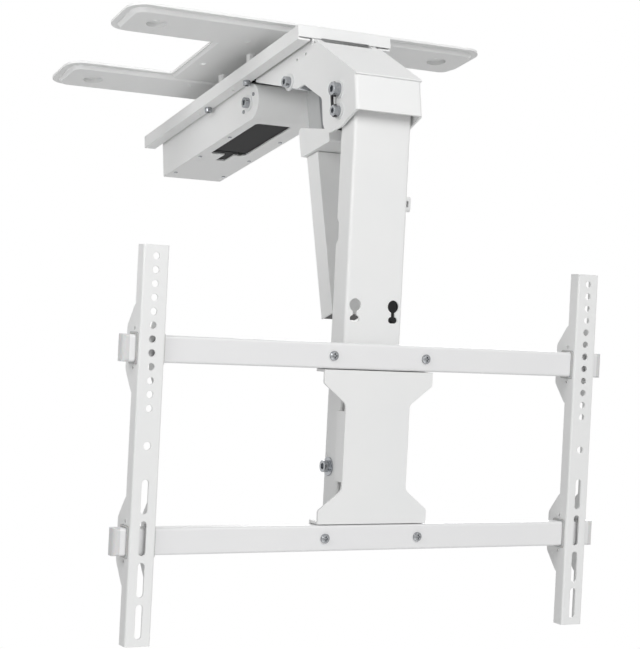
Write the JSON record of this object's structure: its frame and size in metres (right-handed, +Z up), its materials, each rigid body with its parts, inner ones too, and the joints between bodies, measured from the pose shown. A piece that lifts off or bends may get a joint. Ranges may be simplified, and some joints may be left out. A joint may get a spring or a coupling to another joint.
{
  "type": "motorised television ceiling mount",
  "caption": "Ceiling plate and rail with a motor-driven fold-down column, cross tubes and two sliding slotted rails that hold a flat television.",
  "frame": {"origin": "centre of the ceiling plate's upper face, on the ceiling", "axes": "+Z up into the ceiling, +X along the television's width, -Y towards the viewer"},
  "size_m": [0.637, 0.6156, 0.7626],
  "materials": {
    "white_coat": "satin powder coat",
    "plated_steel": "plated",
    "zinc_screw": "zinc plated",
    "black_plastic": "moulded",
    "dark_wire": "blackened",
    "cap_plastic": "moulded",
    "board": "solder mask",
    "bronze": "machined",
    "nylon": "moulded"
  },
  "bodies": {
    "mount": {"ceiling_plate": "white_coat", "plate_spacers": "white_coat", "plate_studs": "zinc_screw", "plate_nuts": "zinc_screw", "top_rail": "white_coat", "rail_front_cap": "white_coat", "lip_bolts": "zinc_screw", "lip_nuts": "zinc_screw", "head_frame": "white_coat", "ear_doublers": "plated_steel", "hinge_bolts": "zinc_screw", "hinge_nuts": "zinc_screw", "ear_lower_bolts": "zinc_screw", "ear_washers": "plated_steel", "bolt_locks": "dark_wire", "top_pivot_bolt": "zinc_screw", "top_pivot_nut": "zinc_screw", "top_pivot_sleeves": "zinc_screw", "casing_shell": "white_coat", "casing_bottom": "white_coat", "casing_screws": "zinc_screw", "nose_bolts": "zinc_screw", "nose_washers": "plated_steel", "nose_screws": "zinc_screw", "control_box": "black_plastic", "control_lid": "black_plastic", "control_board": "board", "power_supply": "black_plastic", "power_inlet": "black_plastic"},
    "arm": {"column": "white_coat", "column_cheeks": "plated_steel", "hinge_bushes": "bronze", "cable_clip": "white_coat", "cable_pad": "black_plastic", "foot_pivot_bolts": "zinc_screw", "foot_pivot_sleeves": "zinc_screw", "centre_bracket": "white_coat", "upper_tube": "white_coat", "lower_tube": "white_coat", "tube_end_caps": "cap_plastic", "tube_screws": "zinc_screw", "tube_nuts": "zinc_screw"},
    "rail_left": {"tv_rail_left": "white_coat", "rail_guides_left": "white_coat"},
    "rail_right": {"tv_rail_right": "white_coat", "rail_guides_right": "white_coat"},
    "actuator": {"gearbox_cover": "white_coat", "actuator_eye": "white_coat", "actuator_cover": "white_coat", "actuator_barrel": "plated_steel", "barrel_gland": "black_plastic", "drive_motor": "black_plastic", "motor_pinion": "bronze", "drive_gear": "bronze", "lead_screw": "zinc_screw"},
    "rod": {"actuator_rod": "plated_steel", "drive_nut": "nylon", "rod_eye": "plated_steel", "eye_pin": "zinc_screw"}
  },
  "joints": [
    {"name": "fold", "type": "hinge", "parent": "mount", "child": "arm", "pos_m": [0, -0.293, -0.128], "axis": [1, 0, 0], "range_deg": [0, 74]},
    {"name": "actuator_swing", "type": "hinge", "parent": "mount", "child": "actuator", "pos_m": [0, -0.165, -0.08], "axis": [1, 0, 0], "range_deg": [0, 79.38]},
    {"name": "rod_slide", "type": "slide", "parent": "actuator", "child": "rod", "axis": [0, 0.1059, 0.9944], "range_m": [0, 0.16092]},
    {"name": "rail_left_slide", "type": "slide", "parent": "arm", "child": "rail_left", "axis": [1, 0, 0], "range_m": [-0.006, 0.18]},
    {"name": "rail_right_slide", "type": "slide", "parent": "arm", "child": "rail_right", "axis": [-1, 0, 0], "range_m": [-0.006, 0.18]}
  ],
  "couplings": [
    {"joint": "actuator_swing", "follows": "fold", "ratio": 1.07},
    {"joint": "rod_slide", "follows": "fold", "m_per_rad": 0.12428}
  ]
}
